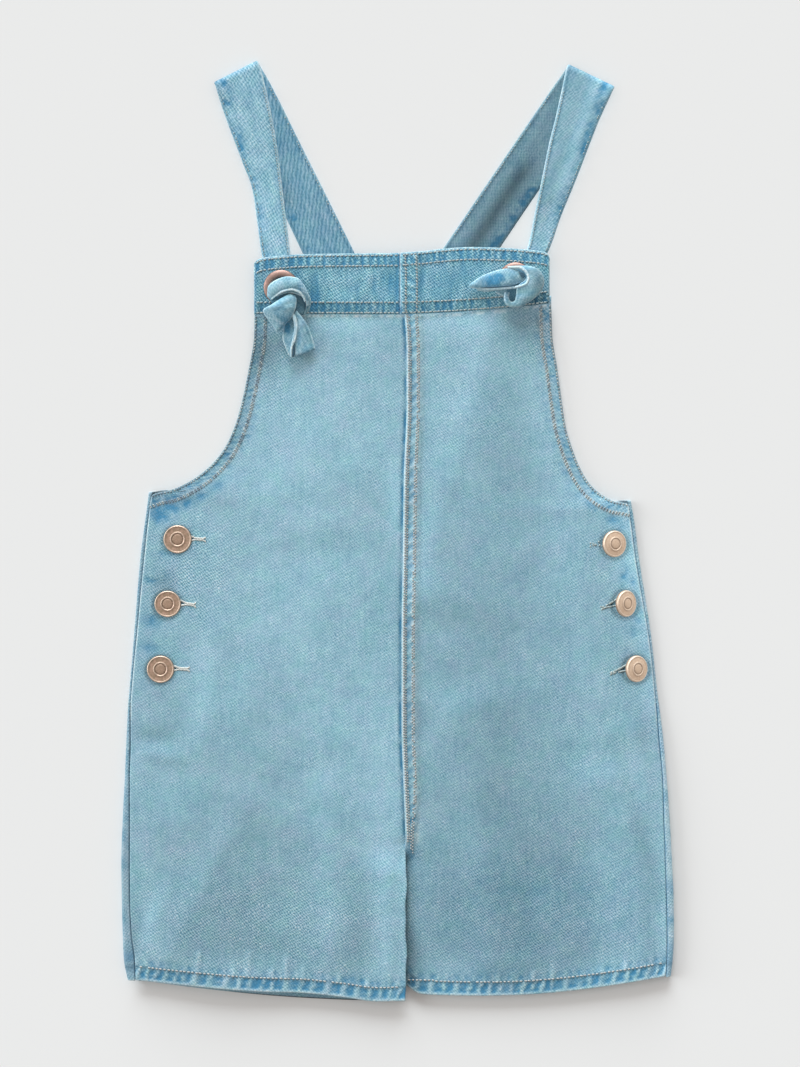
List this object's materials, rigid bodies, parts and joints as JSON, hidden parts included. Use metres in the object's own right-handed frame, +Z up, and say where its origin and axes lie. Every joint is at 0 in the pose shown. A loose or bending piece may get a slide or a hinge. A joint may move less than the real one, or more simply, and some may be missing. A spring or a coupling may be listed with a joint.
{
  "type": "kids dungarees",
  "caption": "Short-leg denim dungarees for a child, laid flat: a bib with a stitched band, buttoned sides, and shoulder straps knotted through eyelets.",
  "frame": {"origin": "middle of the garment's box, on the surface that it lies on", "axes": "+Z up out of the surface, +Y from the leg hems towards the shoulder straps, +X to the viewer's right when the front is seen"},
  "size_m": [0.3308, 0.5641, 0.0165],
  "materials": {
    "denim_front": "light-washed denim twill, matt, worn pale along its edges",
    "denim_back": "light-washed denim twill, a little darker where it lies in shade",
    "denim_band": "light-washed denim twill, bluer between its stitched edges",
    "denim_strap": "light-washed denim twill, streaked along the strap and worn pale at its folds",
    "copper": "copper-plated, brushed, with brighter worn rims",
    "thread": "matt topstitching thread, grey-beige"
  },
  "bodies": {
    "root": {"front_left_panel": "denim_front", "front_right_panel": "denim_front", "armhole_hem_left": "denim_front", "armhole_hem_right": "denim_front", "front_leg_hem_left": "denim_front", "front_leg_hem_right": "denim_front", "back_left_panel": "denim_back", "back_right_panel": "denim_back", "back_leg_hem_left": "denim_back", "back_leg_hem_right": "denim_back", "bib_band_left": "denim_band", "bib_band_right": "denim_band", "strap_left": "denim_strap", "strap_right": "denim_strap", "knot_left": "denim_strap", "knot_right": "denim_strap", "eyelet_left": "copper", "eyelet_right": "copper", "button_left_1": "copper", "button_left_2": "copper", "button_left_3": "copper", "button_right_1": "copper", "button_right_2": "copper", "button_right_3": "copper"}
  },
  "joints": []
}
